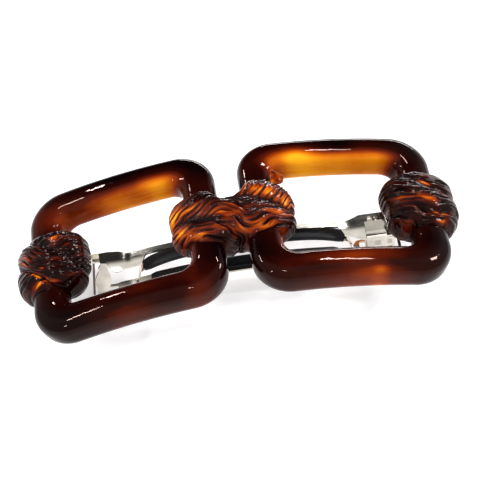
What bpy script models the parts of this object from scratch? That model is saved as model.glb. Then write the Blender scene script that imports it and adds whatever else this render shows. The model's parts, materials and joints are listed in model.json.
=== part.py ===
"""Chain-link barrette: two resin links bound by three rope-wrap knots, on a steel clip.

Units are metres, +Z is up, and the decoration faces +Z. The origin is at the middle of the
footprint, on the surface that the closed clip stands on. The links are drawn flat, with u along
their length and w above their mid-plane, and then wrapped on an arch about Y. The clip is drawn in
its own frame, which is turned by CLIP_YAW about Z, because it is bonded slightly askew.
"""

import math

import bmesh
import bpy
from mathutils import Matrix

# Decoration
CREST = 0.0200            # height of the links' mid-plane at the middle of the arch
ARCH_RADIUS = 0.1420      # radius of that mid-plane's arch
LINK_LENGTH = 0.0460
LINK_WIDTH = 0.0424
LINK_GAP = 0.0052         # between the two links
BAR_WIDTH = 0.0080
BAR_HEIGHT = 0.0077
LINK_OUTER_RADIUS = 0.0087
LINK_INNER_RADIUS = 0.0035
SECTION_POWER = 2.6       # superellipse exponent of the bar's section
KNOT_GAP = 0.0003         # clearance between a knot and the bars that it binds
KNOT_TOP = 0.0068         # above the mid-plane
KNOT_BOTTOM = 0.0046      # below the mid-plane
CENTRE_KNOT_SPAN = 0.0300
CENTRE_KNOT_DEPTH = 0.0172
WAIST_EDGE = 0.0040       # the centre knot's rear edge between the two bars
WAIST_RADIUS = 0.0045
END_KNOT_SPAN = 0.0186
END_KNOT_DEPTH = 0.0180
END_KNOT_U = 0.0439       # middle of an end knot, along the arch

# Clip: heights are measured from the links' mid-plane at the crest
CLIP_YAW = math.radians(-1.6)
CLIP_ARCH = 0.0270        # the strips are arched up to this distance and level beyond it
STRIP_HALF = 0.00195      # half the width of the base plate and of the arm
SHEET = 0.00055           # thickness of the stamped steel
PLATE_W = -0.00565        # base plate's middle at the crest
RAIL_FRONT = 0.0004       # the base plate is cut back to here in front, over the sleeve
RAIL_LEFT = -0.0214
RAIL_RIGHT = 0.0242
ARM_W = -0.01535          # clasp arm's middle at the crest
LEFT_HEAD_RISE = 0.0006   # how far each end of the base plate is joggled up
RIGHT_HEAD_RISE = 0.0002
HEAD_HALF = 0.00285       # half the width of the hinge head
CATCH_HALF = 0.0032       # half the width of the catch head
HEAD_END = -0.0342        # left end of the hinge head
EYELET_X = 0.0317         # lens-shaped hole in the catch head
EYELET_Y = 0.0013
PIN_X = -0.0328
PIN_W = -0.0170
PIN_RADIUS = 0.0005
PIN_CLEARANCE = 0.00006
EAR_X = -0.0312           # middle of the hinge ear at its top
EAR_HALF = 0.0003         # half the thickness of the hinge ear
LEG_FRONT = 0.0006        # the end leg, at the back of the hinge head
LEG_REAR = 0.0026
TONGUE_FRONT = 0.00065    # the arm's tongue, which runs behind the ear to the pin
TONGUE_REAR = 0.0014
HINGE_LEAN = math.radians(9.0)

# Bow spring
BOW_X = 0.0014            # middle of the bow
BOW_W = -0.00712
BOW_DROP = 0.0036         # fall from the middle to the end of the sleeve
BOW_REACH = 0.0236        # half the length of the sleeve
BOW_POWER = 3.5
BOW_HALF = 0.00150
BOW_SHEET = 0.00035
SLEEVE_HALF = 0.00180
SLEEVE_THICK = 0.00115

# Rubber strip on the arm
GRIP_LEFT, GRIP_RIGHT = -0.0213, 0.0237
GRIP_FRONT, GRIP_REAR = -0.0013, 0.00185
GRIP_SHEET = 0.0008

# Catch
TAB_LEFT = 0.0303
TAB_RIGHT = 0.0370
TAB_TOP = -0.0097
TAB_BOTTOM = -0.0194
TAB_SHEET = 0.0004

RESIN = (0.20, 0.05, 0.015)
KNOT_RESIN = (0.32, 0.09, 0.015)
NICKEL = (0.78, 0.74, 0.68)
RUBBER = (0.015, 0.016, 0.018)
ADHESIVE = (0.80, 0.76, 0.62)


def clear_scene():
    for old in list(bpy.data.objects):
        bpy.data.objects.remove(old, do_unlink=True)


def new_collection(name):
    made = bpy.data.collections.new(name)
    bpy.context.scene.collection.children.link(made)
    return made


def new_material(name, colour, roughness, metallic=0.0):
    made = bpy.data.materials.new(name)
    made.use_nodes = True
    shader = made.node_tree.nodes["Principled BSDF"]
    shader.inputs["Base Color"].default_value = (*colour, 1.0)
    shader.inputs["Roughness"].default_value = roughness
    shader.inputs["Metallic"].default_value = metallic
    return made


def new_object(name, mesh, colour, roughness=0.1, metallic=0.0, parent=None):
    """An object in the barrette's collection, with a material of its own."""
    made = bpy.data.objects.new(name, mesh)
    mesh.materials.clear()
    mesh.materials.append(new_material(name, colour, roughness, metallic))
    PARTS.objects.link(made)
    made.parent = parent
    return made


def new_tool(name, mesh, parent=None):
    """A solid that cuts or joins another one, and isn't part of the barrette."""
    made = bpy.data.objects.new(name, mesh)
    TOOLS.objects.link(made)
    made.parent = parent
    made.hide_render = True
    made.display_type = "WIRE"
    return made


def combine(target, tool, operation):
    step = target.modifiers.new(operation.title() + " " + tool.name, "BOOLEAN")
    step.operation = operation
    step.object = tool
    step.solver = "EXACT"


def mesh_from(bm, name, smooth=True):
    bmesh.ops.recalc_face_normals(bm, faces=bm.faces)
    mesh = bpy.data.meshes.new(name)
    bm.to_mesh(mesh)
    bm.free()
    if smooth:
        mesh.shade_smooth()
        mesh.set_sharp_from_angle(angle=math.radians(35))
    return mesh


def arc(cx, cy, radius, start, end, steps):
    """Points on an arc, angles in degrees, both ends included."""
    angles = [math.radians(start + (end - start) * i / steps) for i in range(steps + 1)]
    return [(cx + radius * math.cos(a), cy + radius * math.sin(a)) for a in angles]


def box_outline(x0, y0, x1, y1):
    return [(x0, y0), (x1, y0), (x1, y1), (x0, y1)]


def outline_solid(loops, low, high, cuts=()):
    """A flat outline with its holes, extruded from low to high along Z, cut across at each x in cuts."""
    curve = bpy.data.curves.new("outline", "CURVE")
    curve.dimensions = "2D"
    curve.fill_mode = "BOTH"
    curve.extrude = (high - low) / 2
    for loop in loops:
        spline = curve.splines.new("POLY")
        spline.points.add(len(loop) - 1)
        for point, (x, y) in zip(spline.points, loop):
            point.co = (x, y, 0.0, 1.0)
        spline.use_cyclic_u = True
    holder = bpy.data.objects.new("outline", curve)
    bpy.context.scene.collection.objects.link(holder)
    bpy.context.view_layer.update()
    flat = bpy.data.meshes.new_from_object(holder.evaluated_get(bpy.context.evaluated_depsgraph_get()))
    bpy.data.objects.remove(holder)
    bm = bmesh.new()
    bm.from_mesh(flat)
    bmesh.ops.remove_doubles(bm, verts=bm.verts, dist=0.00001)
    bmesh.ops.translate(bm, verts=bm.verts, vec=(0, 0, (low + high) / 2))
    for x in cuts:
        everything = bm.verts[:] + bm.edges[:] + bm.faces[:]
        bmesh.ops.bisect_plane(bm, geom=everything, plane_co=(x, 0, 0), plane_no=(1, 0, 0), dist=1e-7)
    bmesh.ops.dissolve_degenerate(bm, dist=1e-6, edges=bm.edges)
    return bm


def upright(bm, y=0.0):
    """Stands a flat outline up: its y becomes height, and its thickness runs along Y."""
    bmesh.ops.rotate(bm, verts=bm.verts, matrix=Matrix.Rotation(math.radians(90), 3, "X"))
    bmesh.ops.translate(bm, verts=bm.verts, vec=(0, y, 0))
    return bm


def steps_between(low, high, count):
    return [low + (high - low) * i / count for i in range(1, count)]


def arch(u, w):
    """The point at u along the arch and w above the mid-plane, as x and height."""
    angle = u / ARCH_RADIUS
    reach = ARCH_RADIUS + w
    return reach * math.sin(angle), reach * math.cos(angle) - ARCH_RADIUS + CREST


def wrap(bm):
    for v in bm.verts:
        v.co.x, v.co.z = arch(v.co.x, v.co.z)
    return bm


def fall(x):
    """How far a clip strip lies below its crest at x: an arc in the middle, level at both ends."""
    reach = min(abs(x), CLIP_ARCH)
    return ARCH_RADIUS - math.sqrt(ARCH_RADIUS**2 - reach**2)


def drape(bm, crest, left_rise=0.0, right_rise=0.0):
    """Lowers a flat strip onto its arched line. The ends are joggled up by the rises."""
    for v in bm.verts:
        rise = left_rise if v.co.x < 0 else right_rise
        share = min(max((abs(v.co.x) - (CLIP_ARCH - 0.0015)) / 0.002, 0.0), 1.0)
        v.co.z += CREST + crest - fall(v.co.x) + rise * share
    return bm


def superellipse(a, b, power, angle):
    c, s = math.cos(angle), math.sin(angle)
    return (
        math.copysign(abs(c) ** (2 / power), c) * a,
        math.copysign(abs(s) ** (2 / power), s) * b,
    )


# ---------------------------------------------------------------- decoration


def points_between(start, end, count):
    """The points that divide a straight line into count equal steps, without its ends."""
    (x0, y0), (x1, y1) = start, end
    return list(zip(steps_between(x0, x1, count), steps_between(y0, y1, count)))


def rounded_rectangle(length, width, radius, corner_steps=5, side_steps=5):
    """Points round a rounded rectangle, the same number for any radius."""
    points = []
    corners = ((1, 1, 0), (-1, 1, 90), (-1, -1, 180), (1, -1, 270))
    for sx, sy, start in corners:
        cx, cy = sx * (length / 2 - radius), sy * (width / 2 - radius)
        turn = arc(cx, cy, radius, start, start + 90, corner_steps)
        if points:
            points += points_between(points[-1], turn[0], side_steps)
        points += turn
    return points + points_between(points[-1], points[0], side_steps)


def link_mesh(centre, name):
    """A ring of rounded-square bar, lofted between its outer and inner outlines and arched."""
    outer = rounded_rectangle(LINK_LENGTH, LINK_WIDTH, LINK_OUTER_RADIUS)
    inner = rounded_rectangle(LINK_LENGTH - 2 * BAR_WIDTH, LINK_WIDTH - 2 * BAR_WIDTH, LINK_INNER_RADIUS)
    sides = 14
    bm = bmesh.new()
    rings = []
    for (ox, oy), (ix, iy) in zip(outer, inner):
        ring = []
        for k in range(sides):
            across, up = superellipse(1.0, BAR_HEIGHT / 2, SECTION_POWER, 2 * math.pi * k / sides)
            x = (ox + ix) / 2 + across * (ox - ix) / 2 + centre
            y = (oy + iy) / 2 + across * (oy - iy) / 2
            ring.append(bm.verts.new((x, y, up)))
        rings.append(ring)
    for ring, following in zip(rings, rings[1:] + rings[:1]):
        for k in range(sides):
            n = (k + 1) % sides
            bm.faces.new((ring[k], following[k], following[n], ring[n]))
    return mesh_from(wrap(bm), name)


def knot_mesh(centre, span, depth, name):
    """A blunt bead, domed above the bars and flat below them."""
    bm = bmesh.new()
    bmesh.ops.create_uvsphere(bm, u_segments=28, v_segments=14, radius=1.0)
    bmesh.ops.rotate(bm, verts=bm.verts, matrix=Matrix.Rotation(math.radians(90), 3, "X"))
    for v in bm.verts:
        along = math.copysign(abs(v.co.y) ** 0.62, v.co.y)
        girth = (1 - abs(along) ** 3.4) ** (1 / 3.4)
        flat = math.hypot(v.co.x, v.co.z)
        angle = math.atan2(v.co.z, v.co.x)
        across, up = superellipse(1.0, 1.0, 2.3, angle) if flat > 1e-6 else (0.0, 0.0)
        low = -KNOT_BOTTOM
        height = up * girth * (KNOT_TOP if up > 0 else 1.6 * KNOT_BOTTOM)
        v.co = (centre + across * girth * span / 2, along * depth / 2, max(height, low))
    bmesh.ops.remove_doubles(bm, verts=bm.verts, dist=0.00002)
    bmesh.ops.dissolve_degenerate(bm, dist=0.00001, edges=bm.edges)
    return mesh_from(wrap(bm), name)


def bar_channel(centre, name):
    """The space round one end bar of a link, with the knot's clearance."""
    sides = 16
    a, b = BAR_WIDTH / 2 + KNOT_GAP, BAR_HEIGHT / 2 + KNOT_GAP
    outline = [superellipse(a, b, SECTION_POWER, 2 * math.pi * k / sides) for k in range(sides)]
    bm = upright(outline_solid([outline], -LINK_WIDTH / 3, LINK_WIDTH / 3))
    bmesh.ops.translate(bm, verts=bm.verts, vec=(centre, 0, 0))
    return mesh_from(wrap(bm), name)


def block(x0, y0, z0, x1, y1, z1):
    bm = bmesh.new()
    bmesh.ops.create_cube(bm, size=1.0)
    bmesh.ops.scale(bm, verts=bm.verts, vec=(x1 - x0, y1 - y0, z1 - z0))
    bmesh.ops.translate(bm, verts=bm.verts, vec=((x0 + x1) / 2, (y0 + y1) / 2, (z0 + z1) / 2))
    return bm


def round_bar(bottom_radius, top_radius, depth, sides):
    """An upright cone or rod about the origin."""
    bm = bmesh.new()
    bmesh.ops.create_cone(
        bm, cap_ends=True, segments=sides, radius1=bottom_radius, radius2=top_radius, depth=depth
    )
    return bm


def build_links():
    offset = (LINK_GAP + LINK_LENGTH) / 2
    new_object("left_link", link_mesh(-offset, "left_link"), RESIN)
    new_object("right_link", link_mesh(offset, "right_link"), RESIN)


def build_knots(clip):
    near = LINK_GAP / 2 + BAR_WIDTH / 2
    far = LINK_GAP / 2 + LINK_LENGTH - BAR_WIDTH / 2
    bead = knot_mesh(0, CENTRE_KNOT_SPAN, CENTRE_KNOT_DEPTH, "centre_knot")
    centre = new_object("centre_knot", bead, KNOT_RESIN)
    combine(centre, new_tool("waist", waist()), "DIFFERENCE")
    for side, label in ((-1, "left"), (1, "right")):
        name = label + "_near_bar"
        combine(centre, new_tool(name, bar_channel(side * near, name)), "DIFFERENCE")
        name = label + "_knot"
        bead = knot_mesh(side * END_KNOT_U, END_KNOT_SPAN, END_KNOT_DEPTH, name)
        knot = new_object(name, bead, RESIN)
        name = label + "_far_bar"
        combine(knot, new_tool(name, bar_channel(side * far, name)), "DIFFERENCE")
        combine(knot, recess(side, clip), "DIFFERENCE")


def waist():
    """The notch behind the centre knot, between the two bars."""
    bm = round_bar(WAIST_RADIUS, WAIST_RADIUS, 4 * BAR_HEIGHT, 24)
    bmesh.ops.translate(bm, verts=bm.verts, vec=(0, WAIST_EDGE + WAIST_RADIUS, CREST))
    return mesh_from(bm, "waist")


def recess(side, clip):
    """The pocket under an end knot that the end of the clip sits in."""
    roof = head_height(side) + 0.0011
    if side < 0:
        name, end, half = "left_recess", HEAD_END - 0.0031, HEAD_HALF + 0.0005
    else:
        name, end, half = "right_recess", TAB_RIGHT + 0.0024, CATCH_HALF + 0.0013
    pocket = block(min(end, 0.0), -half, 0.0, max(end, 0.0), half, roof)
    return new_tool(name, mesh_from(pocket, name, smooth=False), clip)


# ---------------------------------------------------------------- clip


def head_height(side):
    """Height of the middle of the base plate's sheet at its level ends."""
    rise = LEFT_HEAD_RISE if side < 0 else RIGHT_HEAD_RISE
    return CREST + PLATE_W - fall(CLIP_ARCH) + rise


def build_base_plate(clip):
    """The stamped strip with a wide head at each end, the hinge ear and the end leg."""
    left_front = [
        (-0.0306, -EAR_HALF), (-0.0300, -0.0018), (-0.0292, -0.0027), (-0.0283, -HEAD_HALF),
        (-0.0262, -STRIP_HALF),
    ]
    rail = [
        (RAIL_LEFT - 0.0012, -STRIP_HALF), (RAIL_LEFT, RAIL_FRONT),
        (RAIL_RIGHT, RAIL_FRONT), (RAIL_RIGHT + 0.0012, -STRIP_HALF),
    ]
    catch = [
        (0.0262, -STRIP_HALF), (0.0285, -CATCH_HALF + 0.0004), (0.0292, -CATCH_HALF),
        (TAB_RIGHT, -CATCH_HALF), (TAB_RIGHT, CATCH_HALF),
        (0.0292, CATCH_HALF), (0.0285, CATCH_HALF - 0.0004), (0.0262, STRIP_HALF),
    ]
    left_back = [
        (-0.0262, STRIP_HALF), (-0.0280, HEAD_HALF - 0.0003), (-0.0305, HEAD_HALF),
        (-0.0325, HEAD_HALF - 0.0001), (HEAD_END, LEG_REAR),
        (HEAD_END, LEG_FRONT), (-0.0320, EAR_HALF), (-0.0320, -EAR_HALF),
    ]
    outline = left_front + rail + catch + left_back
    lens = [superellipse(0.0006, 0.00115, 2.0, 2 * math.pi * k / 12) for k in range(12)]
    eyelet = [(EYELET_X + x, EYELET_Y + y) for x, y in lens]
    cuts = steps_between(-CLIP_ARCH, CLIP_ARCH, 18)
    cuts += [side * (CLIP_ARCH + extra) for side in (-1, 1) for extra in (0, 0.0005)]
    sheet = outline_solid([outline, eyelet], -SHEET / 2, SHEET / 2, cuts)
    drape(sheet, PLATE_W, LEFT_HEAD_RISE, RIGHT_HEAD_RISE)
    plate = new_object("base_plate", mesh_from(sheet, "base_plate"), NICKEL, 0.12, 1.0, clip)
    combine(plate, new_tool("hinge_ear", hinge_ear(), clip), "UNION")
    combine(plate, new_tool("end_leg", end_leg(), clip), "UNION")
    bore = pin_rod(-0.0020, 0.0020, PIN_RADIUS + PIN_CLEARANCE, "pin_hole")
    combine(plate, new_tool("pin_hole", bore, clip), "DIFFERENCE")


def lean(bm, height):
    """Leans a hinge leg outwards, about its top."""
    for v in bm.verts:
        v.co.x -= (height - v.co.z) * math.tan(HINGE_LEAN)
    return bm


def hinge_ear():
    """The hourglass leg that carries the hinge pin and is the clip's foot at that end."""
    top = head_height(-1)
    half_widths = (
        (top - 0.0001, 0.00080), (top - 0.0018, 0.00080), (top - 0.0030, 0.00120),
        (top - 0.0048, 0.00185), (top - 0.0066, 0.00205), (top - 0.0085, 0.00200),
        (top - 0.0102, 0.00160), (0.0, 0.00130),
    )
    right_edge = [(EAR_X + half, z) for z, half in half_widths]
    left_edge = [(EAR_X - half, z) for z, half in half_widths[::-1]]
    ear = upright(outline_solid([right_edge + left_edge], -EAR_HALF, EAR_HALF))
    return mesh_from(lean(ear, top), "hinge_ear", smooth=False)


def end_leg():
    """The second leg of the hinge head, folded down at the very end of the plate."""
    top = head_height(-1)
    bm = block(HEAD_END, LEG_FRONT, 0.0, HEAD_END + SHEET, LEG_REAR, top)
    return mesh_from(lean(bm, top), "end_leg", smooth=False)


def pin_rod(front, rear, radius, name, sides=16):
    """A rod on the hinge's axis, between two places along Y."""
    bm = round_bar(radius, radius, rear - front, sides)
    bmesh.ops.rotate(bm, verts=bm.verts, matrix=Matrix.Rotation(math.radians(90), 3, "X"))
    bmesh.ops.translate(bm, verts=bm.verts, vec=(PIN_X, (front + rear) / 2, CREST + PIN_W))
    return mesh_from(bm, name)


def build_hinge_pin(clip):
    """The pin, whose front end sits just inside the ear's front face."""
    rod = pin_rod(-EAR_HALF + 0.00008, TONGUE_REAR + 0.0004, PIN_RADIUS, "hinge_pin")
    new_object("hinge_pin", rod, NICKEL, 0.15, 1.0, clip)


def build_adhesive(clip):
    """The three beds of adhesive between the clip and the knots."""
    film = 0.00030
    lift = SHEET / 2 + 0.00020
    reach = 0.0110
    cuts = steps_between(-reach, reach, 6)
    outline = box_outline(-reach, RAIL_FRONT + 0.0001, reach, STRIP_HALF - 0.0002)
    bed = drape(outline_solid([outline], lift, lift + film, cuts), PLATE_W)
    bed = mesh_from(bed, "centre_adhesive")
    new_object("centre_adhesive", bed, ADHESIVE, 0.3, 0.0, clip)
    spots = (
        ("left_adhesive", -1, (-0.0341, 0.0009, -0.0326, 0.0024)),
        ("right_adhesive", 1, (0.0353, -0.0020, TAB_RIGHT - 0.0002, 0.0028)),
    )
    for name, side, (x0, y0, x1, y1) in spots:
        low = head_height(side) + lift
        spot = mesh_from(block(x0, y0, low, x1, y1, low + film), name, smooth=False)
        new_object(name, spot, ADHESIVE, 0.3, 0.0, clip)


def moving_frame(name, clip, x, y, height):
    """An empty on a joint's axis. Children keep coordinates of the clip's frame."""
    empty = bpy.data.objects.new(name, None)
    PARTS.objects.link(empty)
    empty.parent = clip
    empty.location = (x, y, height)
    empty.empty_display_size = 0.004
    return empty


def ride(part, frame):
    part.parent = frame
    part.location = -frame.location
    return part


def build_arm(frame):
    """The clasp arm: an arched strip with a hinge tongue, two slots for the bow and a latch loop."""
    loop_left, loop_right, loop_half = 0.0290, 0.0388, 0.0042
    tongue_end = -0.0318
    corner, rim = 0.0008, 0.0006
    outline = [
        (-0.0296, -0.0012), (-0.0284, -STRIP_HALF), (0.0272, -STRIP_HALF), (0.0284, -loop_half),
        (loop_right - corner, -loop_half), (loop_right, -loop_half + corner),
        (loop_right, loop_half - corner), (loop_right - corner, loop_half),
        (0.0284, loop_half), (0.0272, STRIP_HALF), (-0.0284, STRIP_HALF),
        (-0.0300, TONGUE_REAR), (tongue_end, TONGUE_REAR),
        (tongue_end, TONGUE_FRONT), (-0.0296, TONGUE_FRONT),
    ]
    window = box_outline(loop_left, -loop_half + rim, loop_right - rim - 0.0001, loop_half - rim)
    slots = [box_outline(x - 0.00065, -0.0010, x + 0.00065, 0.0010) for x in (bow_end(-1), bow_end(1))]
    cuts = steps_between(-CLIP_ARCH, CLIP_ARCH, 16) + [-CLIP_ARCH, CLIP_ARCH]
    sheet = drape(outline_solid([outline, window, *slots], -SHEET / 2, SHEET / 2, cuts), ARM_W)
    arm = ride(new_object("clasp_arm", mesh_from(sheet, "clasp_arm"), NICKEL, 0.12, 1.0), frame)
    level = CREST + ARM_W - fall(CLIP_ARCH)
    lug = (
        arc(PIN_X, CREST + PIN_W, 0.0013, 20, 270, 14)
        + [(-0.0310, level - SHEET / 2 + 0.0001), (-0.0306, level), (-0.0310, level + 0.0006)]
    )
    half = (TONGUE_REAR - TONGUE_FRONT) / 2 - 0.00004
    middle = (TONGUE_REAR + TONGUE_FRONT) / 2
    knuckle = upright(outline_solid([lug], -half, half), middle)
    knuckle = new_tool("knuckle", mesh_from(knuckle, "knuckle", smooth=False))
    combine(arm, ride(knuckle, frame), "UNION")
    bore = pin_rod(-0.0025, 0.0025, PIN_RADIUS + PIN_CLEARANCE, "arm_pin_hole")
    combine(arm, ride(new_tool("arm_pin_hole", bore), frame), "DIFFERENCE")


def build_arm_grip(frame):
    """The rubber strip on the arm's upper face."""
    low = SHEET / 2 + 0.00010
    cuts = steps_between(GRIP_LEFT, GRIP_RIGHT, 14)
    outline = box_outline(GRIP_LEFT, GRIP_FRONT, GRIP_RIGHT, GRIP_REAR)
    pad = drape(outline_solid([outline], low, low + GRIP_SHEET, cuts), ARM_W)
    ride(new_object("arm_grip", mesh_from(pad, "arm_grip"), RUBBER, 0.45), frame)


def bow_end(side):
    """Where an end of the bow passes through the arm."""
    return BOW_X + side * (BOW_REACH + 0.0029)


def bow_height(x):
    return CREST + BOW_W - BOW_DROP * (abs(x - BOW_X) / BOW_REACH) ** BOW_POWER


def bow_path(reach, count):
    places = [BOW_X + reach * (2 * i / count - 1) for i in range(count + 1)]
    return [(x, bow_height(x)) for x in places]


def ribbon(path, halves):
    """An open strip along a path of x and height, of the given half widths."""
    bm = bmesh.new()
    rows = [[bm.verts.new((x, side * half, z)) for side in (-1, 1)] for (x, z), half in zip(path, halves)]
    for row, following in zip(rows, rows[1:]):
        bm.faces.new((row[0], following[0], following[1], row[1]))
    return bm


def thicken(part, thickness):
    step = part.modifiers.new("Sheet", "SOLIDIFY")
    step.thickness = thickness
    step.offset = 0.0
    step.use_even_offset = True


def build_bow(frame):
    """The arched leaf spring, whose narrow ends hook into the arm, and its rubber sleeve."""
    middle = bow_path(BOW_REACH + 0.0004, 20)
    foot = CREST + ARM_W - fall(CLIP_ARCH) - 0.0008
    end_z = middle[0][1]
    end_x = bow_end(-1)
    left = [
        (end_x, foot), (end_x, foot + 0.0016), (end_x + 0.0007, foot + 0.0032),
        (end_x + 0.0016, end_z - 0.0011),
    ]
    right = [(2 * BOW_X - x, z) for x, z in reversed(left)]
    path = left + middle + right
    taper = [0.0007, 0.0007, 0.0009, 0.0013]
    halves = taper + [BOW_HALF] * len(middle) + taper[::-1]
    leaf = new_object("bow_spring", mesh_from(ribbon(path, halves), "bow_spring"), NICKEL, 0.12, 1.0)
    thicken(ride(leaf, frame), BOW_SHEET)
    outside = ribbon(bow_path(BOW_REACH, 20), [SLEEVE_HALF] * 21)
    tube = new_object("bow_sleeve", mesh_from(outside, "bow_sleeve"), RUBBER, 0.45)
    thicken(ride(tube, frame), SLEEVE_THICK)
    inside = ribbon(bow_path(BOW_REACH + 0.0010, 20), [BOW_HALF + 0.00015] * 21)
    bore = ride(new_tool("sleeve_bore", mesh_from(inside, "sleeve_bore")), frame)
    thicken(bore, BOW_SHEET + 0.0004)
    combine(tube, bore, "DIFFERENCE")


def build_catch_saddle(clip):
    """The bent cover on the catch head, which the front squeeze tab hangs from."""
    low = head_height(1) + SHEET / 2 + 0.0002
    outer = CATCH_HALF + 0.0006
    radius, sheet = 0.0011, 0.0004
    outside = arc(-outer + radius, low + sheet - radius, radius, 90, 180, 6)
    inside = arc(-outer + radius, low + sheet - radius, radius - sheet, 180, 90, 6)
    bottom = CREST + TAB_TOP + 0.0002
    back = 0.0004
    profile = [(back, low + sheet)] + outside + [(-outer, bottom), (-outer + sheet, bottom)]
    profile += inside + [(back, low)]
    bm = outline_solid([profile], TAB_LEFT, 0.0349)
    turn = Matrix(((0, 0, 1, 0), (1, 0, 0, 0), (0, 1, 0, 0), (0, 0, 0, 1)))
    bmesh.ops.transform(bm, verts=bm.verts, matrix=turn)
    new_object("catch_saddle", mesh_from(bm, "catch_saddle"), NICKEL, 0.12, 1.0, clip)


def build_catch_rivet(clip):
    """The rivet's head on the catch head, behind the saddle."""
    bm = round_bar(0.00055, 0.0004, 0.0005, 16)
    bmesh.ops.translate(bm, verts=bm.verts, vec=(0.0332, 0.0017, head_height(1) + SHEET / 2 + 0.0003))
    new_object("catch_rivet", mesh_from(bm, "catch_rivet"), NICKEL, 0.12, 1.0, clip)


def build_catch_tab(name, side, frame):
    """A squeeze tab: a wall with two windows, wrapped round the catch's inner corner, and a barb."""
    face = CATCH_HALF
    radius = 0.0014
    low, high = CREST + TAB_BOTTOM, CREST + TAB_TOP
    wrapped = arc(TAB_LEFT + radius, -face + radius, radius, 270, 180, 6)
    back = arc(TAB_LEFT + radius, -face + radius, radius - TAB_SHEET, 180, 270, 6)
    lip = -face + 0.0018
    plan = [(TAB_RIGHT, -face)] + wrapped + [(TAB_LEFT, lip), (TAB_LEFT + TAB_SHEET, lip)]
    plan += back + [(TAB_RIGHT, -face + TAB_SHEET)]
    plan = [(x, -side * y) for x, y in plan]
    wall = mesh_from(outline_solid([plan], low, high), name, smooth=False)
    wall = ride(new_object(name, wall, NICKEL, 0.12, 1.0), frame)
    y0, y1 = sorted((side * (face - 0.001), side * (face + 0.001)))
    for label, x0, x1 in (("_window_a", 0.0320, 0.0336), ("_window_b", 0.0351, 0.0362)):
        opening = block(x0, y0, CREST - 0.0131, x1, y1, CREST - 0.0103)
        cutter = new_tool(name + label, mesh_from(opening, name + label, smooth=False))
        combine(wall, ride(cutter, frame), "DIFFERENCE")
    y0, y1 = sorted((side * (face - TAB_SHEET), side * (face + 0.0003)))
    top = CREST + ARM_W - fall(CLIP_ARCH) - 0.0005
    barb = block(TAB_LEFT + 0.0020, y0, low, TAB_RIGHT - 0.0010, y1, top)
    tool = ride(new_tool(name + "_barb", mesh_from(barb, name + "_barb", smooth=False)), frame)
    combine(wall, tool, "UNION")


clear_scene()
PARTS = new_collection("barrette")
TOOLS = new_collection("tools")
CLIP = bpy.data.objects.new("clip_frame", None)
PARTS.objects.link(CLIP)
CLIP.rotation_euler = (0, 0, CLIP_YAW)

build_links()
build_knots(CLIP)
build_base_plate(CLIP)
build_hinge_pin(CLIP)
build_adhesive(CLIP)
arm_axis = moving_frame("arm_axis", CLIP, PIN_X, 0, CREST + PIN_W)
build_arm(arm_axis)
build_arm_grip(arm_axis)
build_bow(moving_frame("bow_axis", CLIP, BOW_X, 0, CREST + BOW_W))
build_catch_saddle(CLIP)
build_catch_rivet(CLIP)
tab_height = CREST + TAB_TOP
build_catch_tab("front_catch_tab", -1, moving_frame("front_tab_axis", CLIP, 0, -CATCH_HALF, tab_height))
build_catch_tab("rear_catch_tab", 1, moving_frame("rear_tab_axis", CLIP, 0, CATCH_HALF, tab_height))
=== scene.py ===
"""Looks for the chain-link barrette: resin links, rope-wrap knots, a nickel clip and its rubber strips.

Lengths in this script are millimetres until a mesh is made, and MM turns them into metres. The decoration
is drawn flat, with u along it, y across it and w above the links' mid-plane, and then wrapped on the arch.
The clip is drawn in its own frame, which is turned about Z so that its y axis is the hinge's axis.
"""

import json
import math

import bmesh
import bpy
import numpy as np
from mathutils import Matrix, Vector
from mathutils.geometry import delaunay_2d_cdt


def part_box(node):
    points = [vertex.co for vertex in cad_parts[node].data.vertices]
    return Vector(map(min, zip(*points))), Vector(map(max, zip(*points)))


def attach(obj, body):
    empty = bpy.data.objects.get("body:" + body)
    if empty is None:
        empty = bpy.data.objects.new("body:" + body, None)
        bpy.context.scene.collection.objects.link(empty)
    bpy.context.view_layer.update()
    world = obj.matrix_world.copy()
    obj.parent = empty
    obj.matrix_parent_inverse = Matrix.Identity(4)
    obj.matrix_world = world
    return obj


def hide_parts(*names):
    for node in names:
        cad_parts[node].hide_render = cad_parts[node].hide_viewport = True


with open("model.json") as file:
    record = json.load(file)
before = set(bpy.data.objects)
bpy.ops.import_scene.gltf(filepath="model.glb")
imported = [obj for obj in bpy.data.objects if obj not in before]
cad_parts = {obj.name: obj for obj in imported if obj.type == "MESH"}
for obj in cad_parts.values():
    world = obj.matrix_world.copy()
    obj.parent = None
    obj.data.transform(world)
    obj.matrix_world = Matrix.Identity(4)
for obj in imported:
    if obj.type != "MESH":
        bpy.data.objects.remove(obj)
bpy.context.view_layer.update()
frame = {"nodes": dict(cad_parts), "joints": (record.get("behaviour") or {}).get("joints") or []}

MM = 0.001
ARCH_RADIUS = 142.0       # of the links' mid-plane
CREST = 20.0              # height of that mid-plane at the middle of the arch
BAR = 8.0
BAR_HEIGHT = 7.7
OUTER_RADIUS = 8.7
INNER_RADIUS = 3.5
SECTION_POWER = 3.0       # superellipse exponent of the bar's section


def box_mm(node):
    low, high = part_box(node)
    return np.array(low) / MM, np.array(high) / MM


LINK_WIDTH = float(box_mm("left_link")[1][1] - box_mm("left_link")[0][1])
LINK_LENGTH = 46.0
LINK_CENTRE = 25.6

hinge = next(j for j in frame["joints"] if j["name"] == "arm_hinge")
CLIP_X = Vector((hinge["axis"][1], -hinge["axis"][0], 0.0))
CLIP_Y = Vector(hinge["axis"])


# ---------------------------------------------------------------- geometry helpers


def arch(points):
    """Flat (u, y, w) points, wrapped on the arch, as (x, y, z)."""
    u, y, w = points[..., 0], points[..., 1], points[..., 2]
    angle = u / ARCH_RADIUS
    reach = ARCH_RADIUS + w
    return np.stack([reach * np.sin(angle), y, reach * np.cos(angle) - ARCH_RADIUS + CREST], -1)


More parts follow.
